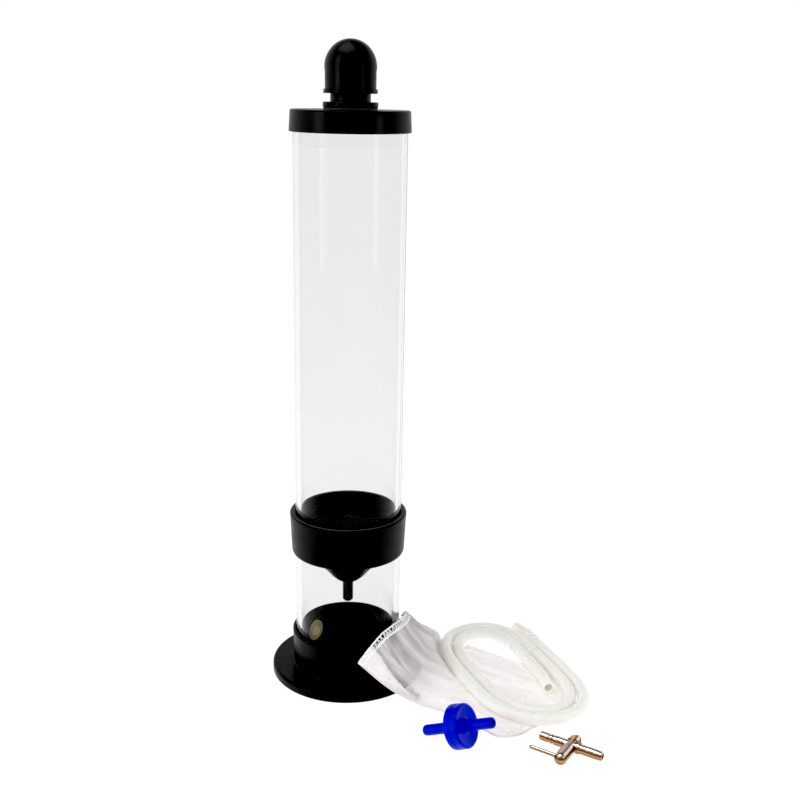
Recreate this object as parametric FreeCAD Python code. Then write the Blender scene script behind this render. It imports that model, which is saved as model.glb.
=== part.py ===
import FreeCAD, Part
import math
import os

# Air-driven clear column on a round foot, with its loose air-line kit beside it.
# Millimetres, +Z up. The origin is the centre of the foot's underside, on the column's axis.
# The front of the column is -Y, and the kit lies on the same floor on its +X side.

V = FreeCAD.Vector
os.makedirs("parts", exist_ok=True)

# ---- column: driving dimensions ----
TUBE_R = 30.0            # outside radius of both clear tubes
TUBE_WALL = 3.0
GLUE_GAP = 0.1           # radial gap of a glued joint
SLIP_GAP = 0.3           # radial gap where a piece lifts off
FOOT_R = 43.7
FOOT_H = 5.2
BASE_RIM_Z = 26.0
BASE_RIM_R = 31.9
BASE_FOOT_R = 31.3
BASE_LEDGE_Z = 20.0      # the stand tube stands on this ledge
FUNNEL_RIM_Z = 98.2
FUNNEL_RIM_R = 33.1
FUNNEL_SKIRT_Z = 74.5
FUNNEL_SKIRT_R = 32.0
STAND_TOP_Z = 81.5       # top of the stand tube, inside the funnel cup's skirt
FUNNEL_LEDGE_Z = 84.0    # the column tube stands on this ledge
NIPPLE_R = 3.0
NIPPLE_TIP_Z = 42.3
TUBE_TOP_Z = 315.5
LID_BOTTOM_Z = 307.3
LID_TOP_Z = 318.5
LID_R = 31.9

# ---- neck and vent elbow ----
NECK_R = 10.48           # half inch pipe thread, outside
NECK_TOP_Z = 336.0
THREAD_PITCH = 1.814
FLANGE_R = 14.35
FLANGE_TOP_Z = 322.3
GASKET_H = 1.0
ELBOW_BOTTOM_Z = 326.5
ELBOW_R = 13.25
ELBOW_COLLAR_R = 14.0
ELBOW_COLLAR_H = 2.2
ELBOW_AXIS_Z = 340.2     # height of the outlet's axis
ELBOW_REACH = 25.0        # from the column's axis to the outlet's end
ELBOW_AZ = 92.8          # the outlet points away from the front
OUTLET_BORE_R = 9.32
OUTLET_DEPTH = 11.0
AIRWAY_R = 7.5

# ---- hose pass-through in the base cup ----
GROMMET_AZ = 143.0
GROMMET_Z = 14.2
GROMMET_R = 5.0
GROMMET_LIP_R = 6.2
GROMMET_BORE_R = 3.6

# ---- check valve: its axis rises from the inlet to the outlet ----
CHECK_AT = V(62.9, -83.4, 12.1)
CHECK_AZ = -29.0
CHECK_TILT = 23.8
CHECK_R = 11.6
CHECK_BORE_R = 1.5
CHECK_BARB_R = 2.9

# ---- brass lever valve: barrel and cross stem lie flat ----
AIR_AT = V(120.2, -86.1, 3.6)    # where the stem crosses the barrel
AIR_AZ = -32.4
AIR_BORE_R = 1.3
STEM_R = 1.5
STEM_FIT = 0.05
HEAD_R = 3.3
HEAD_S = -13.3                   # centre of the head's domed end, along the stem
BOSS_R = 3.6                     # rear flange of the barrel, which rests on the floor
LEVER_R = 1.0
LEVER_S = -12.6                  # place of the lever along the stem

# ---- hose: two turns of a flat egg-shaped coil and two free ends ----
HOSE_D = 7.0
HOSE_Z = 5.8                     # height of the hose's centreline
COIL_C = V(93.9, -10.3, 0)
COIL_AZ = -64.0
COIL_LONG = 59.5                 # half length of the outer turn's centreline
COIL_WIDE = 30.0                 # half width
COIL_EGG = -0.06                 # narrower at the front end
COIL_START = 97.5                # angle of the tape round the coil
STRAND_STEP = 7.3                # from one turn to the next
OUTER_END = [(111.8, 21.5), (107.2, 29.8), (99.5, 36.9)]
INNER_END = [(100.4, 11.8), (103.6, 4.0), (107.6, -7.5), (111.0, -19.8), (114.0, -31.8)]
TAPE_LEN = 18.0
TAPE_GAP = 0.2
TAPE_WALL = 0.3

# ---- mesh bag: flat on the floor, its mouth drawn up over the foot and the cup ----
BAG_AZ = -30.0
BAG_T = 1.4


def save(shape, node):
    shape.exportStep("parts/%s.step" % node)
    print("%-26s %9.1f mm3  valid %s" % (node, shape.Volume, shape.isValid()))


def lathe(points):
    """Solid of revolution about Z from a closed outline of (radius, height) points."""
    wire = Part.makePolygon([V(r, 0, z) for r, z in points + points[:1]])
    return Part.Face(wire).revolve(V(0, 0, 0), V(0, 0, 1), 360)


def rod(radius, start, length, axis=V(0, 0, 1)):
    return Part.makeCylinder(radius, length, start, axis)


def ring(r_in, r_out, z0, z1):
    return lathe([(r_in, z0), (r_out, z0), (r_out, z1), (r_in, z1)])


def o_ring(centre_r, section_r, z):
    return Part.makeTorus(centre_r, section_r, V(0, 0, z), V(0, 0, 1))


def turned(shape, at, az, tilt=0.0):
    """Takes a shape built about Z so that +Z points along az, tilted up, and moves it."""
    out = shape.copy()
    out.rotate(V(0, 0, 0), V(0, 1, 0), 90 - tilt)
    out.rotate(V(0, 0, 0), V(0, 0, 1), az)
    out.translate(at)
    return out


# ---- stand ----
def foot_plate():
    disc = rod(FOOT_R, V(0, 0, 0), FOOT_H)
    top = [e for e in disc.Edges if e.BoundBox.ZMin > FOOT_H - 0.01]
    disc = disc.makeFillet(1.4, top)
    low = [e for e in disc.Edges if e.BoundBox.ZMax < 0.01]
    return disc.makeChamfer(0.5, low)


def base_cup():
    well_r = TUBE_R - TUBE_WALL
    cup = lathe([
        (well_r, FOOT_H), (BASE_FOOT_R + 0.8, FOOT_H), (BASE_FOOT_R, FOOT_H + 1.0),
        (BASE_RIM_R, BASE_RIM_Z - 0.6), (BASE_RIM_R - 0.6, BASE_RIM_Z),
        (TUBE_R + GLUE_GAP + 0.4, BASE_RIM_Z), (TUBE_R + GLUE_GAP, BASE_RIM_Z - 0.4),
        (TUBE_R + GLUE_GAP, BASE_LEDGE_Z), (well_r, BASE_LEDGE_Z),
    ])
    return cup.cut(turned(rod(GROMMET_R, V(0, 0, 20), 20), V(0, 0, GROMMET_Z), GROMMET_AZ))


def hose_grommet():
    inner, outer, lip = 26.2, 31.9, 1.2
    bush = lathe([
        (GROMMET_BORE_R, inner - lip), (GROMMET_LIP_R - 0.4, inner - lip),
        (GROMMET_LIP_R, inner - lip + 0.4), (GROMMET_LIP_R, inner),
        (GROMMET_R - GLUE_GAP, inner), (GROMMET_R - GLUE_GAP, outer),
        (GROMMET_LIP_R, outer), (GROMMET_LIP_R, outer + lip - 0.4),
        (GROMMET_LIP_R - 0.4, outer + lip), (GROMMET_BORE_R, outer + lip),
    ])
    return turned(bush, V(0, 0, GROMMET_Z), GROMMET_AZ)


def clear_tube(z0, z1):
    edge = 0.3
    r_in = TUBE_R - TUBE_WALL
    return lathe([
        (r_in + edge, z0), (TUBE_R - edge, z0), (TUBE_R, z0 + edge), (TUBE_R, z1 - edge),
        (TUBE_R - edge, z1), (r_in + edge, z1), (r_in, z1 - edge), (r_in, z0 + edge),
    ])


# ---- water column ----
def funnel_cup():
    """Upper socket for the column tube, lower skirt round the stand tube, cone and nipple."""
    spigot_r = TUBE_R - TUBE_WALL - 0.4
    skirt_in = TUBE_R + SLIP_GAP
    well_r = TUBE_R - TUBE_WALL
    return lathe([
        (FUNNEL_RIM_R - 0.7, FUNNEL_RIM_Z), (FUNNEL_RIM_R, FUNNEL_RIM_Z - 0.8),
        (FUNNEL_SKIRT_R + 0.05, FUNNEL_SKIRT_Z + 1.2), (FUNNEL_SKIRT_R - 0.35, FUNNEL_SKIRT_Z + 0.35),
        (FUNNEL_SKIRT_R - 1.1, FUNNEL_SKIRT_Z), (skirt_in, FUNNEL_SKIRT_Z),
        (skirt_in, STAND_TOP_Z), (spigot_r, STAND_TOP_Z), (spigot_r, 78.3),
        (11.3, 61.3), (9.6, 59.2), (8.0, 57.7), (6.5, 56.4), (5.0, 55.5), (NIPPLE_R + 0.35, 55.0),
        (NIPPLE_R, 54.4), (NIPPLE_R, NIPPLE_TIP_Z + 1.1), (1.9, NIPPLE_TIP_Z),
        (1.3, NIPPLE_TIP_Z), (1.3, 56.0), (well_r, FUNNEL_LEDGE_Z),
        (TUBE_R + GLUE_GAP, FUNNEL_LEDGE_Z), (TUBE_R + GLUE_GAP, FUNNEL_RIM_Z - 0.5),
        (TUBE_R + GLUE_GAP + 0.5, FUNNEL_RIM_Z),
    ])


# ---- lid and neck ----
def lid():
    skirt_in = TUBE_R + SLIP_GAP
    plug_out = TUBE_R - TUBE_WALL - 0.5
    return lathe([
        (NECK_R + 0.2, TUBE_TOP_Z), (24.0, TUBE_TOP_Z), (24.0, 308.6), (24.4, 308.2),
        (plug_out - 0.6, 308.2), (plug_out, 308.8), (plug_out, 310.9), (plug_out - 1.3, 310.9),
        (plug_out - 1.3, 313.1), (plug_out, 313.1), (plug_out, TUBE_TOP_Z),
        (skirt_in, TUBE_TOP_Z), (skirt_in, LID_BOTTOM_Z + 0.5), (skirt_in + 0.4, LID_BOTTOM_Z),
        (LID_R - 0.4, LID_BOTTOM_Z), (LID_R, LID_BOTTOM_Z + 0.4), (LID_R - 0.55, LID_TOP_Z - 0.9),
        (LID_R - 0.85, LID_TOP_Z - 0.3), (LID_R - 1.4, LID_TOP_Z), (NECK_R + 0.2, LID_TOP_Z),
    ])


def bulkhead_body():
    """Flange, smooth neck above it, and threaded ends inside the elbow and under the lid."""
    under = LID_TOP_Z + GASKET_H
    outline = [(AIRWAY_R, 308.8), (NECK_R - 1.1, 308.8)]
    z = 309.2
    while z + THREAD_PITCH < LID_TOP_Z - 0.5:
        outline += [(NECK_R - 0.9, z), (NECK_R, z + 0.45 * THREAD_PITCH), (NECK_R, z + 0.6 * THREAD_PITCH)]
        z += THREAD_PITCH
    outline += [(NECK_R - 0.9, z), (NECK_R - 0.9, under), (FLANGE_R - 0.3, under), (FLANGE_R, under + 0.3),
                (FLANGE_R, FLANGE_TOP_Z - 0.4), (FLANGE_R - 0.4, FLANGE_TOP_Z), (NECK_R, FLANGE_TOP_Z)]
    z = ELBOW_BOTTOM_Z + 0.8
    outline.append((NECK_R, z))
    while z + THREAD_PITCH < NECK_TOP_Z - 0.3:
        outline += [(NECK_R - 0.9, z + 0.4 * THREAD_PITCH), (NECK_R, z + 0.85 * THREAD_PITCH)]
        z += THREAD_PITCH
    outline += [(NECK_R - 0.9, NECK_TOP_Z), (AIRWAY_R, NECK_TOP_Z)]
    return lathe(outline)


def bulkhead_nut():
    height = 5.4
    top = TUBE_TOP_Z
    corners = [V(16.4 * math.cos(math.radians(a)), 16.4 * math.sin(math.radians(a)), top - height)
               for a in range(0, 420, 60)]
    hexagon = Part.Face(Part.makePolygon(corners)).extrude(V(0, 0, height))
    dome = lathe([(0, top - height), (14.6, top - height), (16.6, top - height + 1.4), (16.6, top), (0, top)])
    return hexagon.common(dome).cut(rod(NECK_R + GLUE_GAP, V(0, 0, top - height - 1), height + 2))


def vent_elbow():
    centre = V(0, 0, ELBOW_AXIS_Z)
    az = math.radians(ELBOW_AZ)
    away = V(math.cos(az), math.sin(az), 0)
    outside = rod(ELBOW_COLLAR_R, V(0, 0, ELBOW_BOTTOM_Z), ELBOW_COLLAR_H)
    outside = outside.fuse(rod(ELBOW_R, V(0, 0, ELBOW_BOTTOM_Z), ELBOW_AXIS_Z - ELBOW_BOTTOM_Z))
    outside = outside.fuse(Part.makeSphere(ELBOW_R, centre))
    outside = outside.fuse(rod(ELBOW_R, centre, ELBOW_REACH, away))
    collar_at = centre + away * (ELBOW_REACH - ELBOW_COLLAR_H)
    outside = outside.fuse(rod(ELBOW_COLLAR_R, collar_at, ELBOW_COLLAR_H, away)).removeSplitter()
    socket_top = NECK_TOP_Z + 1.2
    inside = rod(NECK_R + SLIP_GAP, V(0, 0, ELBOW_BOTTOM_Z - 1), socket_top - ELBOW_BOTTOM_Z + 1)
    inside = inside.fuse(rod(AIRWAY_R, V(0, 0, ELBOW_BOTTOM_Z), ELBOW_AXIS_Z - ELBOW_BOTTOM_Z))
    inside = inside.fuse(Part.makeSphere(AIRWAY_R, centre))
    inside = inside.fuse(rod(AIRWAY_R, centre, ELBOW_REACH + 1, away))
    mouth_at = centre + away * (ELBOW_REACH - OUTLET_DEPTH)
    inside = inside.fuse(rod(OUTLET_BORE_R, mouth_at, OUTLET_DEPTH + 1, away)).removeSplitter()
    return outside.cut(inside)


# ---- check valve, built along Z, its outlet at +Z ----
def check_inlet_half():
    half = lathe([
        (CHECK_BORE_R, -22.8), (CHECK_BARB_R - 0.7, -22.8), (CHECK_BARB_R - 0.2, -22.2),
        (CHECK_BARB_R, -20.8), (CHECK_BARB_R, -8.0), (3.3, -5.2), (4.2, -4.0), (6.5, -3.8),
        (CHECK_R - 0.5, -3.8), (CHECK_R, -3.4), (CHECK_R, -0.6), (8.0, -0.6), (8.0, -1.7),
        (4.2, -1.7), (4.0, -1.0), (3.2, -1.0), (3.0, -1.7), (CHECK_BORE_R, -1.7),
    ])
    return turned(half, CHECK_AT, CHECK_AZ, CHECK_TILT)


def check_outlet_half():
    half = lathe([
        (8.0, -0.6), (CHECK_R - 0.15, -0.6), (CHECK_R - 0.15, 3.1), (CHECK_R - 0.55, 3.7), (10.2, 3.9),
        (7.2, 3.1), (4.8, 2.7), (3.6, 3.1), (CHECK_BARB_R + 0.1, 4.4), (CHECK_BARB_R, 6.0),
        (CHECK_BARB_R, 18.6), (CHECK_BARB_R - 0.2, 19.5), (CHECK_BARB_R - 0.7, 19.95),
        (CHECK_BORE_R, 19.95), (CHECK_BORE_R, 1.2), (4.6, 1.2), (8.0, 0.9),
    ])
    return turned(half, CHECK_AT, CHECK_AZ, CHECK_TILT)


def check_diaphragm():
    disc = lathe([(0, -0.9), (7.0, -0.9), (7.2, -0.6), (7.0, -0.3), (0, -0.3)])
    return turned(disc, CHECK_AT, CHECK_AZ, CHECK_TILT)


# ---- brass lever valve, built along Z: barrel on +Z, stem on X before it is turned flat ----
def place_valve(shape):
    """The barrel's +Z goes along the valve's azimuth, and the stem's +Y to its left."""
    return turned(shape, AIR_AT, AIR_AZ)


def cross(shape):
    """Takes a piece built about Z onto +Y, the stem's direction."""
    out = shape.copy()
    out.rotate(V(0, 0, 0), V(1, 0, 0), -90)
    return out


def air_valve_barrel():
    body = lathe([
        (AIR_BORE_R, -17.5), (1.9, -17.5), (2.35, -17.0), (2.35, -12.6), (1.95, -12.3), (1.95, -11.6),
        (2.4, -11.3), (2.4, -10.6), (1.95, -10.3), (1.95, -9.7), (2.45, -9.4), (2.5, 2.9),
        (3.0, 3.2), (3.0, 4.8), (2.5, 5.1), (2.5, 14.0), (2.3, 16.8), (1.9, 17.4), (AIR_BORE_R, 17.4),
    ])
    boss = cross(rod(2.75, V(0, 0, -2.9), 7.5).fuse(rod(BOSS_R, V(0, 0, 2.2), 2.4)))
    bores = rod(AIR_BORE_R, V(0, 0, -17.6), 35.7).fuse(cross(rod(STEM_R + STEM_FIT, V(0, 0, -4), 12)))
    return place_valve(body.fuse(boss).cut(bores))


def air_valve_stem():
    pin = lathe([(0, -6), (STEM_R, -6), (STEM_R, 7.2), (STEM_R - 0.3, 7.5), (0, 7.5)])
    head = rod(HEAD_R, V(0, 0, HEAD_S), -3.5 - HEAD_S).fuse(Part.makeSphere(HEAD_R, V(0, 0, HEAD_S)))
    head = head.removeSplitter()
    stem = cross(head.fuse(pin))
    stem = stem.cut(rod(1.0, V(0, 0, -5), 10))
    return place_valve(stem.cut(rod(LEVER_R + 0.03, V(0, LEVER_S, -HEAD_R - 1), HEAD_R + 3.2)))


def air_valve_lever():
    tip = -17.6
    bar = lathe([(0, tip), (0.6, tip), (LEVER_R - 0.1, tip + 0.3), (LEVER_R, tip + 0.8),
                 (LEVER_R, 2.0), (0, 2.0)])
    bar.translate(V(0, LEVER_S, 0))
    return place_valve(bar)


def air_valve_nut():
    bore_r = STEM_R + 0.03
    nut = lathe([(bore_r, 4.9), (2.3, 4.9), (2.45, 5.2), (2.45, 7.4), (2.0, 8.3), (bore_r, 8.3)])
    return place_valve(cross(nut))


def air_valve_packing():
    return place_valve(cross(ring(STEM_R + 0.1, 2.5, -3.4, -2.9)))


# ---- hose ----
def coil_point(turn_angle, inset):
    """A point of the coil, turn_angle degrees after the tape, inset from its outer turn."""
    t = math.radians(COIL_START - turn_angle)
    c, s = math.cos(t), math.sin(t)
    along = (COIL_LONG - inset) * math.copysign(math.sqrt(abs(c)), c)
    across = (COIL_WIDE * (1 + COIL_EGG * c) - inset) * s
    az = math.radians(COIL_AZ)
    return V(COIL_C.x + along * math.cos(az) - across * math.sin(az),
             COIL_C.y + along * math.sin(az) + across * math.cos(az), 0)


def coil_outline(inset):
    """One turn of the coil's edge, drifting in by one strand, closed by a short step."""
    points = [coil_point(a, inset + STRAND_STEP * a / 360) for a in range(0, 361, 10)]
    curve = Part.BSplineCurve()
    curve.interpolate(points)
    return Part.Wire([curve.toShape(), Part.makeLine(points[-1], points[0])])


def hose_coil():
    outer = Part.Face(coil_outline(-HOSE_D / 2))
    inner = Part.Face(coil_outline(STRAND_STEP + HOSE_D / 2))
    band = outer.cut(inner)
    band.translate(V(0, 0, HOSE_Z - HOSE_D / 2))
    return band.Faces[0].extrude(V(0, 0, HOSE_D))


def tube_path(points, z):
    """Straight runs joined by tangent arcs, each as large as 0.45 of its shorter run allows."""
    pts = [V(x, y, z) for x, y in points]
    edges = []
    start = pts[0]
    for a, b, c in zip(pts, pts[1:], pts[2:]):
        before, after = (a - b).normalize(), (c - b).normalize()
        cut = 0.45 * min((a - b).Length, (c - b).Length)
        half_turn = (math.pi - before.getAngle(after)) / 2
        print("  bend radius %.1f mm" % (cut / math.tan(half_turn)))
        into, out = b + before * cut, b + after * cut
        middle = (before + after).normalize()
        radius = cut / math.tan(half_turn)
        top = b + middle * (radius / math.cos(half_turn) - radius)
        edges += [Part.LineSegment(start, into).toShape(), Part.Arc(into, top, out).toShape()]
        start = out
    edges.append(Part.LineSegment(start, pts[-1]).toShape())
    return Part.Wire(edges)


def hose_end(points):
    path = tube_path(points, HOSE_Z)
    first = path.Edges[0]
    direction = first.tangentAt(first.FirstParameter)
    section = Part.Wire(Part.makeCircle(HOSE_D / 2, first.valueAt(first.FirstParameter), direction))
    tube = path.makePipeShell([section], True, False)
    print("  length %.1f mm, volume / (section x length) %.3f"
          % (path.Length, tube.Volume / (math.pi * HOSE_D ** 2 / 4 * path.Length)))
    return tube


def hose_tape():
    """Thin closed band round the three strands, at the start of the coil."""
    middle = (coil_point(0, 0) + coil_point(360, 2 * STRAND_STEP)) * 0.5
    ahead = coil_point(4, 0) - coil_point(-4, 0)
    az = math.degrees(math.atan2(ahead.y, ahead.x))
    wide = 3 * STRAND_STEP + 1.4
    high = HOSE_D + 2 * TAPE_GAP

    def block(grow, length):
        box = Part.makeBox(length, wide + 2 * grow, high + 2 * grow,
                           V(-length / 2, -wide / 2 - grow, -high / 2 - grow))
        along = [e for e in box.Edges if abs(e.tangentAt(e.FirstParameter).x) > 0.99]
        return box.makeFillet(TAPE_GAP + grow, along)

    band = block(TAPE_WALL, TAPE_LEN).cut(block(0, TAPE_LEN + 2))
    band.rotate(V(0, 0, 0), V(0, 0, 1), az)
    band.translate(V(middle.x, middle.y, HOSE_Z))
    return band


# ---- mesh bag ----
def mesh_bag():
    """A thin skirt drawn round the cup and over the foot's edge, running out flat on the floor."""
    skirt = lathe([
        (56.0, 0.0), (51.2, 0.0), (44.9, 6.0), (33.1, 26.6), (31.3, 34.0), (32.7, 34.4),
        (34.6, 27.3), (46.1, 7.2), (52.0, BAG_T), (56.0, BAG_T),
    ])
    sheet = rod(150, V(0, 0, 0), BAG_T).cut(rod(54.0, V(0, 0, -1), 5))
    outline = [
        (18, -27), (30, -22.5), (52, -16.5), (76, -15), (92, -20.5), (101, -24.5), (109, -25.5),
        (114, -20), (119, -13), (124, -2), (127, 15), (127.5, 40), (125, 53), (120, 56),
        (52, 56), (34, 51), (14, 33),
    ]
    corners = [V(u, v, -1) for u, v in outline + outline[:1]]
    plan = Part.Face(Part.makePolygon(corners)).extrude(V(0, 0, 50))
    plan.rotate(V(0, 0, 0), V(0, 0, 1), BAG_AZ)
    return skirt.fuse(sheet).common(plan).removeSplitter()


def main():
    save(foot_plate(), "foot_plate")
    save(base_cup(), "base_cup")
    save(hose_grommet(), "hose_grommet")
    save(clear_tube(BASE_LEDGE_Z, STAND_TOP_Z), "stand_tube")
    save(funnel_cup(), "funnel_cup")
    save(clear_tube(FUNNEL_LEDGE_Z, TUBE_TOP_Z), "column_tube")
    save(lid(), "lid")
    save(o_ring(TUBE_R - TUBE_WALL - 0.95, 0.8, 312.0), "lid_o_ring")
    save(bulkhead_body(), "bulkhead_body")
    save(ring(NECK_R + 0.2, FLANGE_R - 0.3, LID_TOP_Z, LID_TOP_Z + GASKET_H), "bulkhead_gasket")
    save(bulkhead_nut(), "bulkhead_nut")
    save(vent_elbow(), "vent_elbow")
    save(ring(AIRWAY_R + 0.3, NECK_R, NECK_TOP_Z, NECK_TOP_Z + 1.2), "elbow_seal")
    save(check_inlet_half(), "check_valve_inlet_half")
    save(check_outlet_half(), "check_valve_outlet_half")
    save(check_diaphragm(), "check_valve_diaphragm")
    save(air_valve_barrel(), "air_valve_barrel")
    save(air_valve_stem(), "air_valve_stem")
    save(air_valve_lever(), "air_valve_lever")
    save(air_valve_nut(), "air_valve_nut")
    save(air_valve_packing(), "air_valve_packing")
    save(hose_coil(), "hose_coil")
    save(hose_end(OUTER_END), "hose_end_outer")
    save(hose_end(INNER_END), "hose_end_inner")
    save(hose_tape(), "hose_tape")
    save(mesh_bag(), "mesh_bag")


main()
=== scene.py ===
"""A clear air-driven column on a black foot, with its air-line kit beside it.

The CAD nodes come from model.glb. This script gives them procedural materials, builds the
hose, its tape and the mesh bag, and sets up the floor, the lights and the camera.
"""

import math

import bpy
from mathutils import Matrix, Vector, kdtree, noise


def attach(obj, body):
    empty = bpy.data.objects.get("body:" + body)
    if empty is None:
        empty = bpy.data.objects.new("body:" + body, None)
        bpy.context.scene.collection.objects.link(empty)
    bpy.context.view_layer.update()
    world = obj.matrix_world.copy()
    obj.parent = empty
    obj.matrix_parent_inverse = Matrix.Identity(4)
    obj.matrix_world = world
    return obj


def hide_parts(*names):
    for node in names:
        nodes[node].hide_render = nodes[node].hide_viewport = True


MM = 0.001
UP = Vector((0, 0, 1))
WHITE = (1, 1, 1, 1)
SMOOTH_UNDER = math.radians(32)

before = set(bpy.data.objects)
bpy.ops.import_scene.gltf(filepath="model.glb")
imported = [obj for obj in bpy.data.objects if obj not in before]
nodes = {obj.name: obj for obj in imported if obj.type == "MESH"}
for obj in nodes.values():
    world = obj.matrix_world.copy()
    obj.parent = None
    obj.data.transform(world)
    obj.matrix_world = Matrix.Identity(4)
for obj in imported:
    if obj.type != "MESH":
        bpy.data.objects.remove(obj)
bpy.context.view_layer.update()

# ---- camera: place in metres, tilt down and roll in radians, lens and sensor in mm ----
EYE = Vector((0.02826, -0.58504, 0.32824))
PITCH = 0.27445
ROLL = 0.01844
LENS = 49.4
SENSOR = 36
CLIP_START = 0.01

# ---- light ----
# name, place, the point it faces, width, height, watts
SOFTBOXES = [
    ("softbox_left", (-1.15, -0.75, 0.55), (0, 0, 0.2), 0.14, 1.3, 5.0),
    ("softbox_right", (1.2, -0.75, 0.55), (0, 0, 0.2), 0.14, 1.3, 2.5),
    ("softbox_top", (-0.25, -0.2, 1.5), (0.03, 0, 0.1), 1.2, 1.0, 12),
]
WALL_LIGHT = 1.0
WALL_TOP = 0.45  # sine of the height above the horizon where the white walls end
CEILING_LIGHT = 0.12
CEILING_FROM = 0.8  # sine of the height where the dark ceiling is reached
FLOOR_SIDE = 6.0
FLOOR_DROP = 0.0002  # keeps the floor off the undersides that stand on it
BLACK_POINT = 0.018

# ---- hose, in mm and degrees ----
# The coil is a rounded rectangle, a little egg-shaped, that winds inwards.
HOSE_R = 3.5
HOSE_BORE_R = 2.45
HOSE_Z = 4.9
HOSE_SIDES = 20
HOSE_SHARP_FROM = 50
COIL_C = (95.2, -10.6)
COIL_AZ = -67.5
COIL_LONG = 58.0
COIL_WIDE = 30.1
COIL_EGG = -0.045
COIL_BULGES = [(185.0, 40.0, 2.5), (338.0, 60.0, -0.5)]  # turn angle, half width, how far out
COIL_START = 97.5
COIL_SWEEP = 720
COIL_EVERY = 10
STRAND_STEP = 7.15
STRAND_CORNER = 0.05
OUTER_END = [(103.6, 41.4), (110.9, 32.0)]
INNER_END = [(105.4, 3.0), (110.0, -8.0), (113.4, -19.6), (115.2, -31.5)]

# ---- tape, in mm ----
TAPE_LEN = 18.0
TAPE_SLANT = 0.35
TAPE_GAP = 0.15
TAPE_AROUND = 64
TAPE_ROWS = 15
TAPE_TURN = 0.62  # cosine from which the tape goes round an outer strand
TAPE_DIP_TOP = 0.35
TAPE_DIP_UNDER = 0.1
TAPE_CREASE = 0.12
TAPE_CREASES = 420  # a metre
TAPE_BULGE = 0.2  # how much the creases of the outer parts stand outwards

# ---- bag, in mm, along and across its own axis ----
BAG_AZ = math.radians(-30)
BAG_FLAT = (0.156, 0.112)  # metres
# Guide points (along, across, up) from the front edge to the rear edge, one row for each
# station from the mouth, drawn up the cup and the tube, to the closed end.
BAG_GUIDES = [
    [(22.6, -23.9, 18.5), (29.9, -12.8, 32.5), (32.2, 5.8, 35.0),
     (24.5, 22.7, 29.5), (15.2, 37.0, 19.5)],
    [(41.0, -21.0, 7.0), (44.0, -6.5, 13.0), (46.0, 11.5, 13.5),
     (38.0, 32.0, 12.0), (27.0, 48.0, 11.0)],
    [(60.0, -18.0, 0.9), (61.5, 2.5, 3.2), (63.0, 19.0, 3.6),
     (57.0, 37.5, 2.6), (46.0, 54.0, 4.0)],
    [(78.0, -17.0, 0.8), (80.0, 2.0, 1.6), (82.0, 20.0, 1.4),
     (80.0, 38.5, 1.2), (74.0, 56.0, 0.8)],
    [(96.0, -20.5, 0.8), (101.0, -5.0, 1.2), (106.0, 15.0, 1.2),
     (106.0, 36.0, 1.1), (101.0, 56.0, 0.8)],
    [(116.0, -25.5, 0.8), (121.0, -9.5, 1.0), (126.5, 9.0, 1.0),
     (127.5, 34.0, 1.0), (121.5, 55.5, 0.8)],
]
BAG_CORNER = (0.2, 0.07)  # how wide and how deep the closed end's corners are rounded
BAG_CORNER_POWER = 2.2
BAG_ROWS = 96
BAG_COLUMNS = 70
TOP_SEED, UNDER_SEED = 3.0, 8.0
TOP_GAP, UNDER_GAP = 0.75, 0.35
# Radius and top of the tube, the cup and the foot, which the bag lies against.
ROUND_PARTS = [(30.0, 500.0), (31.9, 26.0), (43.7, 5.2)]
UNDER_HOSE = 0.4  # height left to the bag under a strand
BESIDE_HOSE = 0.02  # and how fast that grows with the cube of the distance from it
# Folds: times across and along, slant, shift of the seed, height, further height at the mouth.
FOLDS = [
    (6.0, 1.3, 0.5, 0.0, 0.9, 3.2),
    (17.0, 3.5, 0.5, 2.0, 0.35, 1.1),
    (11.0, 12.0, 0.0, 5.0, 0.5, 0.0),
]
LOOSE_TO = 2.2  # one over the share of the length over which the mouth's looseness dies out
RIDGE_SHARP = 5
RIDGE_HIGH = 0.8
SINK_LEAST = -0.3
LAYERS_APART = (0.35, 0.5)  # half the gap between the layers at a sewn edge, and what is added
UNDER_SHARE = 0.3  # how much of the relief the layer underneath has
FREE_FROM_EDGE = 9  # one over the share of the width that an edge holds down
FREE_FROM_END = 10
SLOPE_TO = 2.6
SLOPE_LEAN = 0.8
CREASE = [(106.6, -22.0), (100.5, -42.5), (106.8, -33.0), (106.6, -22.0)]
CREASE_HIGH = 1.3
CREASE_WIDE = 1.7

# ---- the bag's hem and seam, as shares of its width and length unless said ----
MOUTH_HEM = 0.026
HEM_LOOPS = 32
SEAM_END = 0.38
SEAM_WIDE = 0.12
SEAM_LEAST = 0.03
SEAM_TAPER = 0.9
SEAM_FLAT = (0.014, 0.052)  # metres
SEAM_GRID = (60, 14)
SEAM_LOOPS = 46
EDGE_STEPS = 60


# ------------------------------------------------------------------ material helpers
def shader(name, colour, rough, **sockets):
    """A new material with one Principled shader, and that shader."""
    m = bpy.data.materials.new(name)
    m.use_nodes = True
    b = m.node_tree.nodes["Principled BSDF"]
    b.inputs["Base Color"].default_value = (*colour, 1)
    b.inputs["Roughness"].default_value = rough
    for key, value in sockets.items():
        b.inputs[key.replace("_", " ")].default_value = value
    return m, b


def node(m, kind, **values):
    """A new node in a material's or a world's tree."""
    n = m.node_tree.nodes.new(kind)
    for key, value in values.items():
        setattr(n, key, value)
    return n


def join(m, source, target):
    m.node_tree.links.new(source, target)


def maths(m, operation, *inputs, **values):
    """A maths node on sockets or plain numbers."""
    n = node(m, "ShaderNodeMath", operation=operation, **values)
    for target, value in zip(n.inputs, inputs):
        if hasattr(value, "is_output"):
            join(m, value, target)
        else:
            target.default_value = value
    return n.outputs["Value"]


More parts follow.
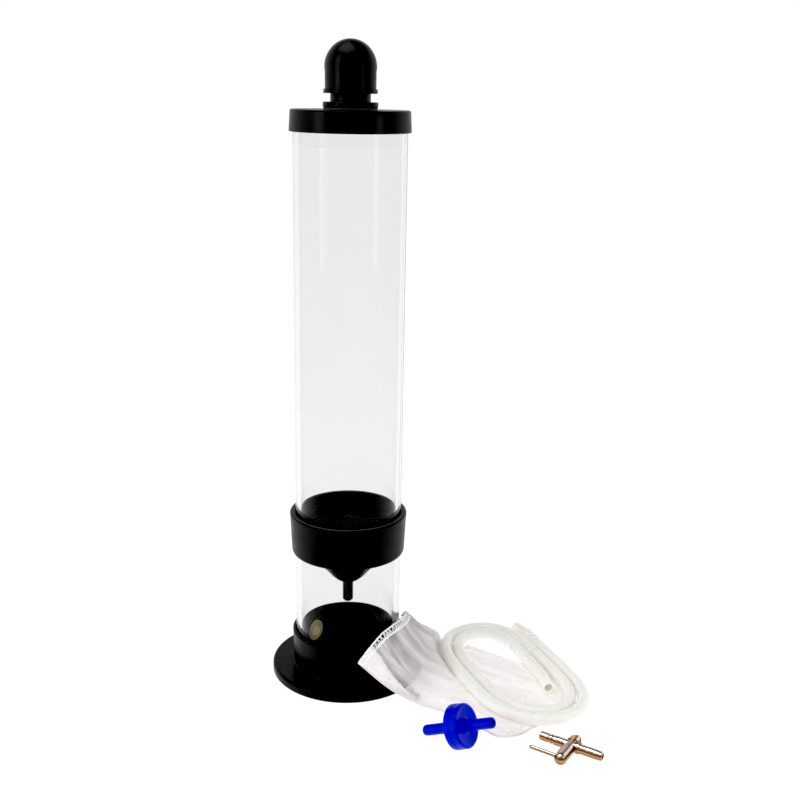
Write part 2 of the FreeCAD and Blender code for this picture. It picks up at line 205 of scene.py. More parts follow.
def place(m, stretch=(1, 1, 1)):
    """The point on the object, in metres, stretched along each axis."""
    at = node(m, "ShaderNodeTexCoord")
    mapping = node(m, "ShaderNodeMapping")
    mapping.inputs["Scale"].default_value = stretch
    join(m, at.outputs["Object"], mapping.inputs["Vector"])
    return mapping.outputs["Vector"]


def cloth_uv(m):
    """The point on the flat cloth, in metres."""
    return node(m, "ShaderNodeUVMap", uv_map="cloth").outputs["UV"]


def grain(m, scale, detail=4.0, stretch=(1, 1, 1)):
    """Noise over the object, from 0 to 1."""
    n = node(m, "ShaderNodeTexNoise")
    n.inputs["Scale"].default_value = scale
    n.inputs["Detail"].default_value = detail
    join(m, place(m, stretch), n.inputs["Vector"])
    return n.outputs["Fac"]


def tones(m, fac, stops):
    """Colour or grey along fac, from stops of a place and a tone."""
    n = node(m, "ShaderNodeValToRGB")
    elements = n.color_ramp.elements
    while len(elements) < len(stops):
        elements.new(0.5)
    for element, (at, tone) in zip(elements, stops):
        element.position = at
        element.color = (*tone, 1) if hasattr(tone, "__len__") else (tone, tone, tone, 1)
    join(m, fac, n.inputs["Fac"])
    return n.outputs["Color"]


def ramp(m, fac, low, high, a, b):
    """Colour or grey from a to b as fac goes from low to high."""
    return tones(m, fac, [(low, a), (high, b)])


def bump(m, b, height, strength, distance, under=None):
    """Adds relief to the shader, on top of the normal under it if there is one."""
    n = node(m, "ShaderNodeBump")
    n.inputs["Strength"].default_value = strength
    n.inputs["Distance"].default_value = distance
    join(m, height, n.inputs["Height"])
    if under is not None:
        join(m, under, n.inputs["Normal"])
    join(m, n.outputs["Normal"], b.inputs["Normal"])
    return n.outputs["Normal"]


def soft_edges(m, radius):
    """A normal that is rounded over the edges, radius in metres."""
    n = node(m, "ShaderNodeBevel", samples=4)
    n.inputs["Radius"].default_value = radius
    return n.outputs["Normal"]


# ------------------------------------------------------------------ materials
def black_plastic():
    """Moulded black plastic: satin, with fine moulding grain and rubbed patches."""
    m, b = shader("black_plastic", (0.004, 0.004, 0.0045), 0.3, Specular_IOR_Level=0.12)
    rubbed = ramp(m, grain(m, 38, 6), 0.35, 0.75,
                  (0.0015, 0.0015, 0.0018), (0.005, 0.0048, 0.0046))
    join(m, rubbed, b.inputs["Base Color"])
    join(m, ramp(m, grain(m, 160, 8), 0.3, 0.72, 0.3, 0.42), b.inputs["Roughness"])
    bump(m, b, grain(m, 1400, 2), 0.05, 0.0001, soft_edges(m, 0.0003))
    return m


def clear_acrylic():
    """Clear acrylic tube: faint grey tint, darker edges, extrusion lines and hazy patches."""
    m, b = shader("clear_acrylic", (0.9, 0.9, 0.895), 0.02, Transmission_Weight=1.0, IOR=1.25)
    b.inputs["Specular Tint"].default_value = (0.4, 0.4, 0.4, 1)
    haze = grain(m, 14, 5, (1, 1, 0.35))
    join(m, ramp(m, haze, 0.45, 0.8, 0.012, 0.07), b.inputs["Roughness"])
    edge = node(m, "ShaderNodeLayerWeight")
    edge.inputs["Blend"].default_value = 0.5
    tint = node(m, "ShaderNodeVectorMath", operation="MULTIPLY")
    join(m, ramp(m, haze, 0.3, 0.8, (0.895, 0.895, 0.889), (0.87, 0.866, 0.852)), tint.inputs[0])
    join(m, ramp(m, edge.outputs["Facing"], 0.55, 0.95, 1.0, 0.84), tint.inputs[1])
    join(m, tint.outputs["Vector"], b.inputs["Base Color"])
    bump(m, b, grain(m, 90, 3, (1, 1, 0.02)), 0.05, 0.0004)
    return m


def black_rubber():
    """Matt black rubber with a little dust."""
    m, b = shader("black_rubber", (0.008, 0.008, 0.008), 0.6)
    dust = grain(m, 260, 5)
    dusty = ramp(m, dust, 0.4, 0.8, (0.005, 0.005, 0.005), (0.02, 0.019, 0.018))
    join(m, dusty, b.inputs["Base Color"])
    join(m, ramp(m, dust, 0.3, 0.8, 0.5, 0.75), b.inputs["Roughness"])
    bump(m, b, grain(m, 2200, 2), 0.15, 0.0001)
    return m


def silicone_bush():
    """Aged yellowish silicone."""
    m, b = shader("silicone_bush", (0.5, 0.4, 0.2), 0.4,
                  Subsurface_Weight=0.3, Subsurface_Scale=0.002)
    b.inputs["Subsurface Radius"].default_value = (1.0, 0.7, 0.35)
    aged = grain(m, 210, 4)
    join(m, ramp(m, aged, 0.3, 0.75, (0.6, 0.48, 0.23), (0.8, 0.7, 0.42)), b.inputs["Base Color"])
    join(m, ramp(m, aged, 0.3, 0.8, 0.32, 0.5), b.inputs["Roughness"])
    bump(m, b, grain(m, 1800, 2), 0.1, 0.0001)
    return m


def ivory_silicone():
    """Cream translucent silicone hose, glossy, a little cloudy, with a faint unevenness."""
    m, b = shader("ivory_silicone", (0.86, 0.83, 0.75), 0.24, Subsurface_Weight=0.7,
                  Subsurface_Scale=0.003, IOR=1.41, Coat_Weight=0.2, Coat_Roughness=0.12)
    b.inputs["Subsurface Radius"].default_value = (1.0, 0.9, 0.7)
    # Painted light: a faint warm emission that brightens the hose, though it is no lamp.
    b.inputs["Emission Color"].default_value = (1.0, 0.92, 0.7, 1)
    b.inputs["Emission Strength"].default_value = 0.04
    cloudy = ramp(m, grain(m, 30, 2), 0.3, 0.75, (0.97, 0.95, 0.88), (0.93, 0.9, 0.81))
    join(m, cloudy, b.inputs["Base Color"])
    join(m, ramp(m, grain(m, 120, 2), 0.3, 0.75, 0.18, 0.3), b.inputs["Roughness"])
    bump(m, b, grain(m, 240, 2), 0.03, 0.0002)
    return m


def clear_tape():
    """Thin clear tape with a slight milkiness and fine creases."""
    m, b = shader("clear_tape", (0.96, 0.965, 0.97), 0.18, IOR=1.47, Alpha=0.3)
    join(m, ramp(m, grain(m, 300, 5), 0.35, 0.7, 0.1, 0.3), b.inputs["Roughness"])
    join(m, ramp(m, grain(m, 90, 4), 0.35, 0.75, 0.22, 0.42), b.inputs["Alpha"])
    bump(m, b, grain(m, 420, 4), 0.3, 0.0002)
    return m


WAVE_LENGTH = 0.314  # of the wave texture at a scale of 1


def woven(m, pitch):
    """Two crossed sets of threads pitch metres apart, from 0 in a hole to 1 on a thread."""
    sets = []
    for axis in ("X", "Y"):
        w = node(m, "ShaderNodeTexWave", wave_type="BANDS", wave_profile="SIN",
                 bands_direction=axis)
        w.inputs["Scale"].default_value = WAVE_LENGTH / pitch
        w.inputs["Distortion"].default_value = 1.2
        w.inputs["Detail"].default_value = 1.0
        w.inputs["Detail Scale"].default_value = 0.2
        join(m, cloth_uv(m), w.inputs["Vector"])
        sets.append(w.outputs["Fac"])
    return maths(m, "MAXIMUM", *sets)


def streaks(m, across, along):
    """Soft bands that run down the bag, where its folds part or gather the threads; near the mouth
    they also place painted shade in the folds.
    """
    mapping = node(m, "ShaderNodeMapping")
    mapping.inputs["Scale"].default_value = (across, along, 1)
    mapping.inputs["Rotation"].default_value = (0, 0, 0.25)
    join(m, cloth_uv(m), mapping.inputs["Vector"])
    n = node(m, "ShaderNodeTexNoise")
    n.inputs["Scale"].default_value = 1.0
    n.inputs["Detail"].default_value = 3.0
    n.inputs["Distortion"].default_value = 0.5
    join(m, mapping.outputs["Vector"], n.inputs["Vector"])
    return n.outputs["Fac"]


def nylon_mesh():
    """Sheer nylon mesh, a little pink, streaked all over, with painted grey shade in streaks near
    the mouth for the dark parts seen through it.
    """
    m, b = shader("nylon_mesh", (0.92, 0.88, 0.87), 0.55, Sheen_Weight=0.15)
    cloth = woven(m, 0.0007)
    split = node(m, "ShaderNodeSeparateXYZ")
    join(m, cloth_uv(m), split.inputs["Vector"])
    mouth = node(m, "ShaderNodeMapRange", interpolation_type="SMOOTHSTEP")
    mouth.inputs["From Min"].default_value = 0.004
    mouth.inputs["From Max"].default_value = 0.05
    mouth.inputs["To Min"].default_value = 1.0
    mouth.inputs["To Max"].default_value = 0.0
    join(m, split.outputs["Y"], mouth.inputs["Value"])
    near = mouth.outputs["Result"]
    # Painted shade: near the mouth the colour is greyed in streaks, standing in for the dark cup
    # and foot seen through the cloth and the shade of its folds.
    painted_shade = maths(m, "MULTIPLY", near, ramp(m, streaks(m, 110, 24), 0.36, 0.64, 1.0, 0.25))
    greyed = ramp(m, painted_shade, 0.0, 1.0, (0.93, 0.88, 0.865), (0.33, 0.32, 0.325))
    join(m, greyed, b.inputs["Base Color"])
    thick = maths(m, "MULTIPLY", ramp(m, cloth, 0.0, 0.8, 0.8, 1.0),
                  ramp(m, streaks(m, 130, 26), 0.34, 0.62, 0.25, 0.6))
    join(m, maths(m, "MULTIPLY_ADD", near, 0.4, thick, use_clamp=True), b.inputs["Alpha"])
    join(m, ramp(m, grain(m, 500, 3), 0.3, 0.7, 0.42, 0.68), b.inputs["Roughness"])
    bump(m, b, cloth, 0.2, 0.0001, bump(m, b, grain(m, 120, 5), 0.35, 0.0012))
    return m


def nylon_seam():
    """The same nylon where it is hemmed, several layers thick and nearly opaque."""
    m, b = shader("nylon_seam", (0.95, 0.92, 0.92), 0.5, Sheen_Weight=0.2)
    mottled = ramp(m, grain(m, 160, 4), 0.35, 0.7, (0.9, 0.87, 0.87), (0.83, 0.77, 0.77))
    join(m, mottled, b.inputs["Base Color"])
    join(m, ramp(m, woven(m, 0.0009), 0.0, 0.6, 0.8, 0.97), b.inputs["Alpha"])
    join(m, ramp(m, grain(m, 500, 3), 0.3, 0.7, 0.4, 0.62), b.inputs["Roughness"])
    bump(m, b, grain(m, 700, 4), 0.4, 0.0003)
    return m


def nylon_thread():
    """White twisted sewing thread."""
    m, b = shader("nylon_thread", (0.95, 0.94, 0.95), 0.5, Sheen_Weight=0.3)
    twist = grain(m, 1500, 3)
    join(m, ramp(m, twist, 0.3, 0.7, (0.9, 0.88, 0.9), (0.98, 0.97, 0.98)), b.inputs["Base Color"])
    join(m, ramp(m, twist, 0.3, 0.7, 0.4, 0.65), b.inputs["Roughness"])
    bump(m, b, twist, 0.4, 0.0001)
    return m


def blue_plastic():
    """Saturated blue plastic, slightly uneven in tone."""
    m, b = shader("blue_plastic", (0.0, 0.004, 0.28), 0.3, Specular_IOR_Level=0.1)
    patches = ramp(m, grain(m, 60, 2), 0.3, 0.75, (0.0, 0.008, 0.44), (0.0004, 0.016, 0.62))
    join(m, patches, b.inputs["Base Color"])
    join(m, ramp(m, grain(m, 420, 5), 0.3, 0.7, 0.26, 0.36), b.inputs["Roughness"])
    bump(m, b, grain(m, 1500, 2), 0.03, 0.0001, soft_edges(m, 0.0003))
    return m


# Painted reflections of the brass, from its underside to its top: painted shade underneath, gold
# at the sides, dark painted reflection bands, a bright painted highlight and a dark line near the
# top.
BRASS_PAINTED_REFLECTIONS = [
    (0.06, (0.03, 0.012, 0.006)), (0.28, (0.28, 0.15, 0.055)), (0.5, (0.5, 0.32, 0.15)),
    (0.6, (0.32, 0.15, 0.07)), (0.68, (0.06, 0.018, 0.01)), (0.76, (0.2, 0.09, 0.055)),
    (0.87, (0.85, 0.7, 0.6)), (0.94, (0.85, 0.75, 0.68)), (0.965, (0.14, 0.08, 0.07)),
    (1.0, (0.55, 0.45, 0.34)),
]


def brass():
    """Bright turned brass, its colour painted by how far the surface faces up: a pinkish gold
    painted highlight near the top, dark painted reflection bands above and below it, painted shade
    underneath.
    """
    m, b = shader("brass", (0.75, 0.5, 0.3), 0.16, Metallic=1.0)
    facing = node(m, "ShaderNodeNewGeometry")
    split = node(m, "ShaderNodeSeparateXYZ")
    join(m, facing.outputs["Normal"], split.inputs["Vector"])
    # Painted reflection bands: the colour is looked up from how far the surface faces world up,
    # jittered a little by noise.
    band_jitter = maths(m, "MULTIPLY_ADD", grain(m, 260, 4), 0.1, 0.45)
    painted_reflection_fac = maths(m, "MULTIPLY_ADD", split.outputs["Z"], 0.5, band_jitter)
    join(m, tones(m, painted_reflection_fac, BRASS_PAINTED_REFLECTIONS), b.inputs["Base Color"])
    join(m, ramp(m, grain(m, 500, 3), 0.3, 0.7, 0.1, 0.2), b.inputs["Roughness"])
    bump(m, b, grain(m, 900, 2), 0.015, 0.0001, soft_edges(m, 0.00012))
    return m


def floor_white():
    """A floor that is lit evenly enough to vanish, and still takes faint shadows."""
    m, b = shader("floor_white", (0.21, 0.21, 0.21), 0.8, Specular_IOR_Level=0.0)
    b.inputs["Emission Color"].default_value = WHITE
    b.inputs["Emission Strength"].default_value = 0.93
    join(m, ramp(m, grain(m, 3, 3), 0.3, 0.7, 0.2, 0.22), b.inputs["Base Color"])
    return m


made = {make.__name__: make() for make in (
    black_plastic, clear_acrylic, black_rubber, silicone_bush, ivory_silicone, clear_tape,
    nylon_mesh, nylon_seam, nylon_thread, blue_plastic, brass,
)}
NODE_LOOKS = {
    "black_plastic": ["foot_plate", "base_cup", "funnel_cup", "lid", "bulkhead_body",
                      "bulkhead_nut", "vent_elbow"],
    "clear_acrylic": ["stand_tube", "column_tube"],
    "black_rubber": ["lid_o_ring", "bulkhead_gasket", "elbow_seal", "check_valve_diaphragm",
                     "air_valve_packing"],
    "silicone_bush": ["hose_grommet"],
    "blue_plastic": ["check_valve_inlet_half", "check_valve_outlet_half"],
    "brass": ["air_valve_barrel", "air_valve_stem", "air_valve_lever", "air_valve_nut"],
}


def wear(obj, look):
    """Gives the whole object that one material."""
    obj.data.materials.clear()
    obj.data.materials.append(made[look])


for look, names in NODE_LOOKS.items():
    for name in names:
        wear(nodes[name], look)
        nodes[name].data.shade_smooth()
        nodes[name].data.set_sharp_from_angle(angle=SMOOTH_UNDER)


# ------------------------------------------------------------------ shape helpers
def add_object(name, data):
    obj = bpy.data.objects.new(name, data)
    bpy.context.scene.collection.objects.link(obj)
    return obj


def mesh_object(name, points, faces):
    """A smooth-shaded mesh in the scene, its points in metres."""
    mesh = bpy.data.meshes.new(name)
    mesh.from_pydata([tuple(p) for p in points], [], faces)
    mesh.validate()
    mesh.update()
    mesh.shade_smooth()
    return add_object(name, mesh)


def grid_faces(rows, columns, closed=False):
    """Quads between rows of points, each row closed on itself if asked."""
    faces = []
    for i in range(rows - 1):
        for j in range(columns if closed else columns - 1):
            here, there = i * columns, (i + 1) * columns
            k = (j + 1) % columns
            faces.append((here + j, here + k, there + k, there + j))
    return faces


def spread_uv(obj, rows, columns, size):
    """Lays rows of points out on flat cloth of that size, in metres."""
    uv = obj.data.uv_layers.new(name="cloth")
    for corner in obj.data.loops:
        row, column = divmod(corner.vertex_index, columns)
        uv.data[corner.index].uv = (column / columns * size[0], row / rows * size[1])


def curve_data(name, kind, points):
    """A curve with one spline of that kind through or towards the points, and the spline."""
    curve = bpy.data.curves.new(name, "CURVE")
    curve.dimensions = "3D"
    spline = curve.splines.new(kind)
    spline.points.add(len(points) - 1)
    for at, p in zip(spline.points, points):
        at.co = (*p, 1)
    return curve, spline


def smooth_line(name, points):
    """The points along a NURBS spline with those control points."""
    curve, spline = curve_data(name, "NURBS", points)
    spline.resolution_u = 6
    spline.order_u = 3
    spline.use_endpoint_u = True
    holder = bpy.data.objects.new(name, curve)
    mesh = bpy.data.meshes.new_from_object(holder)
    line = [v.co.copy() for v in mesh.vertices]
    bpy.data.objects.remove(holder)
    bpy.data.meshes.remove(mesh)
    bpy.data.curves.remove(curve)
    return line


def frames(line):
    """A level direction and an upright one, both square to a line, at each of its points."""
    out = []
    for i in range(len(line)):
        ahead = (line[min(i + 1, len(line) - 1)] - line[max(i - 1, 0)]).normalized()
        side = ahead.cross(UP).normalized()
        out.append((side, side.cross(ahead).normalized()))
    return out


def circle(count):
    """Cosine and sine of evenly spaced angles."""
    angles = [2 * math.pi * k / count for k in range(count)]
    return [(math.cos(a), math.sin(a)) for a in angles]


# ------------------------------------------------------------------ hose
def coil_point(turned):
    """Centre of the coiled strand, in mm, turned degrees in from its outer end."""
    t = math.radians(COIL_START - turned)
    inset = STRAND_STEP * turned / 360 * (1 - STRAND_CORNER * math.sin(2 * t) ** 2)
    for at, wide, out in COIL_BULGES:
        away = min(abs((turned - at + 180) % 360 - 180), wide)
        inset -= out * (0.5 + 0.5 * math.cos(math.pi * away / wide))
    c, s = math.cos(t), math.sin(t)
    along = (COIL_LONG - inset) * math.copysign(math.sqrt(abs(c)), c)
    across = (COIL_WIDE * (1 + COIL_EGG * c) - inset) * s
    az = math.radians(COIL_AZ)
    return (COIL_C[0] + along * math.cos(az) - across * math.sin(az),
            COIL_C[1] + along * math.sin(az) + across * math.cos(az))


def on_strand(turned):
    """The same centre as a point in space, in mm."""
    return Vector((*coil_point(turned), HOSE_Z))


def hose():
    """The hose, open at both ends, and its centre line in metres."""
    coil = [coil_point(a) for a in range(0, COIL_SWEEP + 1, COIL_EVERY)]
    route = [Vector((x, y, HOSE_Z)) * MM for x, y in OUTER_END + coil + INNER_END]
    line = smooth_line("hose_route", route)
    points = []
    rim = circle(HOSE_SIDES)
    for radius in (HOSE_R, HOSE_BORE_R):
        for p, (side, up) in zip(line, frames(line)):
            points += [p + (side * c + up * s) * radius * MM for c, s in rim]
    n = len(line) * HOSE_SIDES
    outside = grid_faces(len(line), HOSE_SIDES, closed=True)
    faces = outside + [(d + n, c + n, b + n, a + n) for a, b, c, d in outside]
    for row in (0, len(line) - 1):
        for k in range(HOSE_SIDES):
            a, b = row * HOSE_SIDES + k, row * HOSE_SIDES + (k + 1) % HOSE_SIDES
            faces.append((a, a + n, b + n, b) if row == 0 else (b, b + n, a + n, a))
    obj = mesh_object("hose", points, faces)
    obj.data.set_sharp_from_angle(angle=math.radians(HOSE_SHARP_FROM))
    wear(obj, "ivory_silicone")
    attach(obj, "hose")
    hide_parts("hose_coil", "hose_end_outer", "hose_end_inner")
    return obj, line


def tape_rim(left, right):
    """Points (across, up) round the strands between left and right, in metres."""
    reach = (HOSE_R + TAPE_GAP) * MM
    steepest = math.sin(math.acos(TAPE_TURN))
    rim = []
    for w, h in circle(TAPE_AROUND):
        if abs(w) > TAPE_TURN:
            turn = math.asin(max(-1, min(1, h / steepest)))
            x = (right if w > 0 else left) + math.copysign(math.cos(turn), w) * reach
            rim.append((x, math.sin(turn) * reach))
        else:
            x = (left + right) / 2 + w / TAPE_TURN * (right - left) / 2
            dip = 0.5 - 0.5 * math.cos(4 * math.pi * (x - left) / (right - left))
            deep = (TAPE_DIP_TOP if h > 0 else TAPE_DIP_UNDER) * MM
            rim.append((x, math.copysign(reach - dip * deep, h)))
    return rim


def tape_band():
    """Clear tape pulled round three strands, its ends cut on a slant."""
    centres = [on_strand(a) * MM for a in (0, 360, 720)]
    middle = centres[1]
    ahead = (on_strand(360 + 2) - on_strand(360 - 2)).normalized()
    side = ahead.cross(UP).normalized()
    across = [(p - middle).dot(side) for p in centres]
    rim = tape_rim(min(across), max(across))
    points = []
    for i in range(TAPE_ROWS):
        s = (i / (TAPE_ROWS - 1) - 0.5) * TAPE_LEN * MM
        for x, z in rim:
            p = middle + side * x + ahead * (s + x * TAPE_SLANT) + Vector((0, 0, z))
            rise = noise.noise(p * TAPE_CREASES) * TAPE_CREASE * MM
            out = Vector((side.x * x * TAPE_BULGE, side.y * x * TAPE_BULGE, z)).normalized()
            points.append(p + out * rise)
    obj = mesh_object("tape_band", points, grid_faces(TAPE_ROWS, TAPE_AROUND, closed=True))
    wear(obj, "clear_tape")
    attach(obj, "hose")
    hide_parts("hose_tape")
    return obj


# ------------------------------------------------------------------ bag
def between(values, x):
    """A smooth curve through evenly spaced vectors, at x from 0 to 1."""
    n = len(values) - 1
    i = min(int(x * n), n - 1)
    f = x * n - i
    b, c = values[i], values[i + 1]
    a = values[i - 1] if i else b * 2 - c
    d = values[i + 2] if i + 2 <= n else c * 2 - b
    bend, twist = a * 2 - b * 5 + c * 4 - d, b * 3 - a - c * 3 + d
    return (b * 2 + (c - a) * f + bend * f ** 2 + twist * f ** 3) * 0.5


def bag_base(s, t):
    """Middle of the bag, in mm, s from the front edge to the rear and t from the mouth down."""
    rows = [[Vector(p) for p in row] for row in BAG_GUIDES]
    wide, deep = BAG_CORNER
    t *= 1 - deep * max(0.0, 1 - min(s, 1 - s) / wide) ** BAG_CORNER_POWER
    p = between([between(row, s) for row in rows], t)
    cos, sin = math.cos(BAG_AZ), math.sin(BAG_AZ)
    return Vector((p.x * cos - p.y * sin, p.x * sin + p.y * cos, p.z))


def keep_clear(p, gap):
    """Moves a point, in mm, off the foot, the cup, the tube, the hose and the floor."""
    r = math.hypot(p.x, p.y)
    for radius, top in ROUND_PARTS:
        if r < radius + gap and p.z < top + gap:
            out, up = radius + gap - r, top + gap - p.z
            if up < out:
                p.z = top + gap
            else:
                p.x, p.y = p.x * (radius + gap) / r, p.y * (radius + gap) / r
                r = radius + gap
    strand_gap = strands.find((p.x, p.y, 0))[2]
    p.z = max(gap, min(p.z, UNDER_HOSE + gap + BESIDE_HOSE * strand_gap ** 3))
    return p


def folds(s, t, seed):
    """Height of the folds, in mm: long ones from the mouth, short crossed ones and a ridge."""
    loose = max(0.0, 1 - t * LOOSE_TO)
    height = 0
    for across, along, slant, shift, high, more in FOLDS:
        at = Vector(((s - slant * t) * across, t * along, seed + shift))
        height += noise.noise(at) * (high + more * loose)
    at = Vector((s * 3.0 + t * 2.0, t * 3.5 - s * 2.0, seed + 9.0))
    ridge = 1 - abs(noise.noise(at)) * RIDGE_SHARP
    return height + max(0.0, ridge) * RIDGE_HIGH


def crease(p):
    """Height, in mm, of the small three-cornered fold in the cloth inside the coil."""
    near = math.inf
    q = Vector((p.x, p.y))
    for a, b in zip(CREASE, CREASE[1:]):
        a, b = Vector(a), Vector(b)
        f = max(0.0, min(1.0, (q - a).dot(b - a) / (b - a).length_squared))
        near = min(near, (q - a - (b - a) * f).length)
    return CREASE_HIGH * math.exp(-((near / CREASE_WIDE) ** 2))


def bag_point(s, t, layer):
    """A point of the cloth, in mm. layer is 1 on top and -1 underneath."""
    on_top = layer > 0
    p = bag_base(s, t)
    # Both are 0 on a sewn edge and 1 where the cloth is free.
    edge = min(1.0, s * FREE_FROM_EDGE, (1 - s) * FREE_FROM_EDGE)
    end = min(1.0, (1 - t) * FREE_FROM_END)
    least, added = LAYERS_APART
    apart = least + added * edge * end * (1.0 if on_top else UNDER_SHARE)
    lift = max(SINK_LEAST, folds(s, t, TOP_SEED if on_top else UNDER_SEED)) * edge * end
    slope = max(0.0, 1 - t * SLOPE_TO)
    out = Vector((p.x, p.y, 0)).normalized() * slope * SLOPE_LEAN
    rise = lift + crease(p) if on_top else lift * UNDER_SHARE
    p += (UP + out).normalized() * (apart * layer + rise)
    return keep_clear(p, TOP_GAP if on_top else UNDER_GAP)


def bag_cloth():
    """Both layers in one piece, open at the mouth and closed at the far end."""
    points = []
    for i in range(BAG_ROWS):
        t = MOUTH_HEM + (1 - MOUTH_HEM) * i / (BAG_ROWS - 1)
        for j in range(BAG_COLUMNS):
            points.append(bag_point(j / (BAG_COLUMNS - 1), t, -1) * MM)
        for j in range(BAG_COLUMNS - 2, 0, -1):
            points.append(bag_point(j / (BAG_COLUMNS - 1), t, 1) * MM)
    ring = 2 * BAG_COLUMNS - 2
    faces = grid_faces(BAG_ROWS, ring, closed=True)
    end = (BAG_ROWS - 1) * ring
    for j in range(BAG_COLUMNS - 1):
        quad = (end + j, end + j + 1, end + ring - j - 1, end + (ring - j) % ring)
        faces.append(tuple(dict.fromkeys(quad)))
    obj = mesh_object("bag_cloth", points, faces)
    spread_uv(obj, BAG_ROWS, ring, BAG_FLAT)
    wear(obj, "nylon_mesh")
    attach(obj, "bag")
    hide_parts("mesh_bag")
    return obj


def thread(name, points, radius, look="nylon_thread"):
    """A sewing thread or a rolled edge along the points, in mm."""
    curve, _ = curve_data(name, "POLY", [p * MM for p in points])
    curve.bevel_depth = radius * MM
    curve.bevel_resolution = 2
    curve.use_fill_caps = True
    curve.materials.append(made[look])
    obj = add_object(name, curve)
    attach(obj, "bag")
    return obj


def above(s, t, up):
    """A point that far over the top layer, in mm."""
    return bag_point(s, t, 1) + Vector((0, 0, up))


def mouth_hem():
    """The mouth's rolled edge, a chain of stitches inside it, and overlock loops over both."""
    steps = 4 * HEM_LOOPS
    edge, chain, loops = [], [], []
    for i in range(steps + 1):
        f = i / steps
        wander = 0.0025 * noise.noise(Vector((f * 60, 0, 0)))
        edge.append(above(f, wander, up=0.1))
        chain.append(above(f, MOUTH_HEM + 0.003 + wander, up=0.25))
    half, inner = 0.3 / HEM_LOOPS, MOUTH_HEM + 0.004
    for i in range(HEM_LOOPS + 1):
        f = i / HEM_LOOPS
        loops += [above(max(0.0, f - half), 0.0, up=0.2), above(f, inner, up=0.5),
                  above(min(1.0, f + half), inner, up=0.5)]
    return [thread("bag_mouth_edge", edge, radius=0.5),
            thread("bag_mouth_chain", chain, radius=0.6),
            thread("bag_mouth_overlock", loops, radius=0.5)]


def seam_width(f):
    """Share of the bag's width that the seam allowance covers, f from the mouth to its end."""
    return SEAM_WIDE * (1 - f) ** SEAM_TAPER + SEAM_LEAST


def seam_band():
    """The seam allowance along the front edge, several layers that narrow from the mouth."""
    rows, columns = SEAM_GRID
    points = []
    for i in range(rows):
        f = i / (rows - 1)
        for j in range(columns):
            ripple = 0.18 * math.sin(j * 1.3 + i * 0.9)
            pucker = ripple + 0.6 * noise.noise(Vector((i * 0.35, j * 0.4, 4.0)))
            s = seam_width(f) * j / (columns - 1)
            points.append(above(s, SEAM_END * f, up=0.45 + pucker) * MM)
    obj = mesh_object("bag_seam_band", points, grid_faces(rows, columns))
    spread_uv(obj, rows, columns, SEAM_FLAT)
    wear(obj, "nylon_seam")
    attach(obj, "bag")
    return obj


def seam_stitches():
    """Small loops of thread along the inner border of the seam allowance."""
    loops = []
    for i in range(SEAM_LOOPS + 1):
        f = i / SEAM_LOOPS
        wander = 0.008 * noise.noise(Vector((i * 0.6, 2.0, 0)))
        inner, outer = seam_width(f) + 0.03 + 3 * wander, seam_width(f) - 0.006
        loops += [above(outer, SEAM_END * f, up=0.75),
                  above(inner, SEAM_END * min(1.0, f + 0.01), up=0.45)]
    return thread("bag_seam_overlock", loops, radius=0.34)


def rolled_edges():
    """The front edge and the closed end, rolled over and sewn down."""
    steps = [i / EDGE_STEPS for i in range(EDGE_STEPS + 1)]
    front = [above(0.0, f, up=0.1) for f in steps]
    end = [above(f, 1.0, up=0.1) for f in steps]
    inner = [above(0.02 + f * 0.96, 0.962, up=0.15) for f in steps]
    return [thread("bag_front_edge", front, radius=0.5, look="nylon_seam"),
            thread("bag_end_edge", end, radius=0.55, look="nylon_seam"),
            thread("bag_end_stitches", inner, radius=0.2)]


# ------------------------------------------------------------------ build
hose_obj, hose_line = hose()
tape = tape_band()

# The hose's line in plan, in mm, for the cloth that lies under it.
strands = kdtree.KDTree(len(hose_line))
for index, at in enumerate(hose_line):
    strands.insert((at.x / MM, at.y / MM, 0), index)
strands.balance()
cloth = bag_cloth()
mouth_hem()
seam_band()
seam_stitches()
rolled_edges()


# ------------------------------------------------------------------ floor, light and camera
def floor():
    """A white floor, for the picture only."""
    a = FLOOR_SIDE
    obj = mesh_object("floor", [(-a, -a, 0), (a, -a, 0), (a, a, 0), (-a, a, 0)], [(0, 1, 2, 3)])
    obj.location.z = -FLOOR_DROP
    obj.data.materials.append(floor_white())


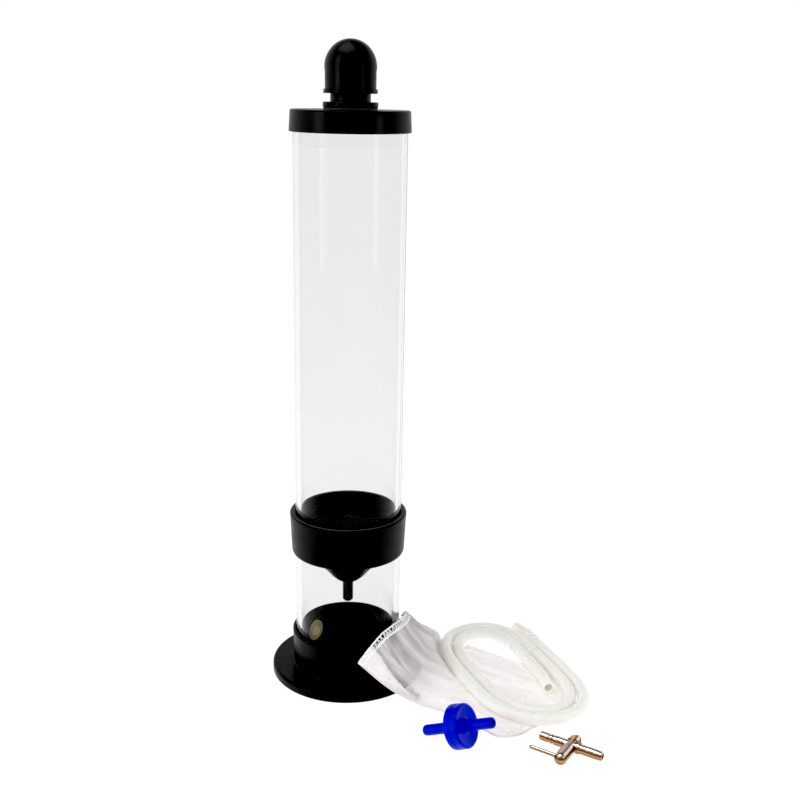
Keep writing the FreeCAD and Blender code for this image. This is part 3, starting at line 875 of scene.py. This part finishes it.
def softbox(name, at, toward, wide, high, watts):
    """A rectangular area light that faces a point."""
    lamp = bpy.data.lights.new(name, "AREA")
    lamp.shape = "RECTANGLE"
    lamp.size, lamp.size_y = wide, high
    lamp.energy = watts
    obj = add_object(name, lamp)
    obj.location = at
    obj.rotation_euler = (Vector(toward) - Vector(at)).to_track_quat("-Z", "Y").to_euler()


def studio():
    """White walls up to about 27 degrees above the horizon, a dark ceiling and softboxes."""
    world = bpy.data.worlds.new("studio")
    bpy.context.scene.world = world
    world.use_nodes = True
    background = world.node_tree.nodes["Background"]
    background.inputs["Color"].default_value = WHITE
    at = node(world, "ShaderNodeTexCoord")
    split = node(world, "ShaderNodeSeparateXYZ")
    fade = node(world, "ShaderNodeMapRange", interpolation_type="SMOOTHSTEP")
    fade.inputs["From Min"].default_value = WALL_TOP
    fade.inputs["From Max"].default_value = CEILING_FROM
    fade.inputs["To Min"].default_value = WALL_LIGHT
    fade.inputs["To Max"].default_value = CEILING_LIGHT
    join(world, at.outputs["Generated"], split.inputs["Vector"])
    join(world, split.outputs["Z"], fade.inputs["Value"])
    join(world, fade.outputs["Result"], background.inputs["Strength"])
    for box in SOFTBOXES:
        softbox(*box)


def camera():
    """A camera at the eye that looks along +Y, tilted down and rolled a little."""
    forward = Vector((0, math.cos(PITCH), -math.sin(PITCH)))
    right = Vector((1, 0, 0))
    up = right.cross(forward)
    x = right * math.cos(ROLL) + up * math.sin(ROLL)
    y = up * math.cos(ROLL) - right * math.sin(ROLL)
    turn = Matrix((x, y, -forward)).transposed().to_4x4()
    cam = bpy.data.cameras.new("camera")
    cam.lens = LENS
    cam.sensor_width = SENSOR
    cam.clip_start = CLIP_START
    obj = add_object("camera", cam)
    obj.matrix_world = Matrix.Translation(EYE) @ turn
    bpy.context.scene.camera = obj


floor()
studio()
camera()
view = bpy.context.scene.view_settings
view.view_transform = "Standard"
view.use_curve_mapping = True
view.curve_mapping.black_level = (BLACK_POINT, BLACK_POINT, BLACK_POINT)
view.curve_mapping.update()
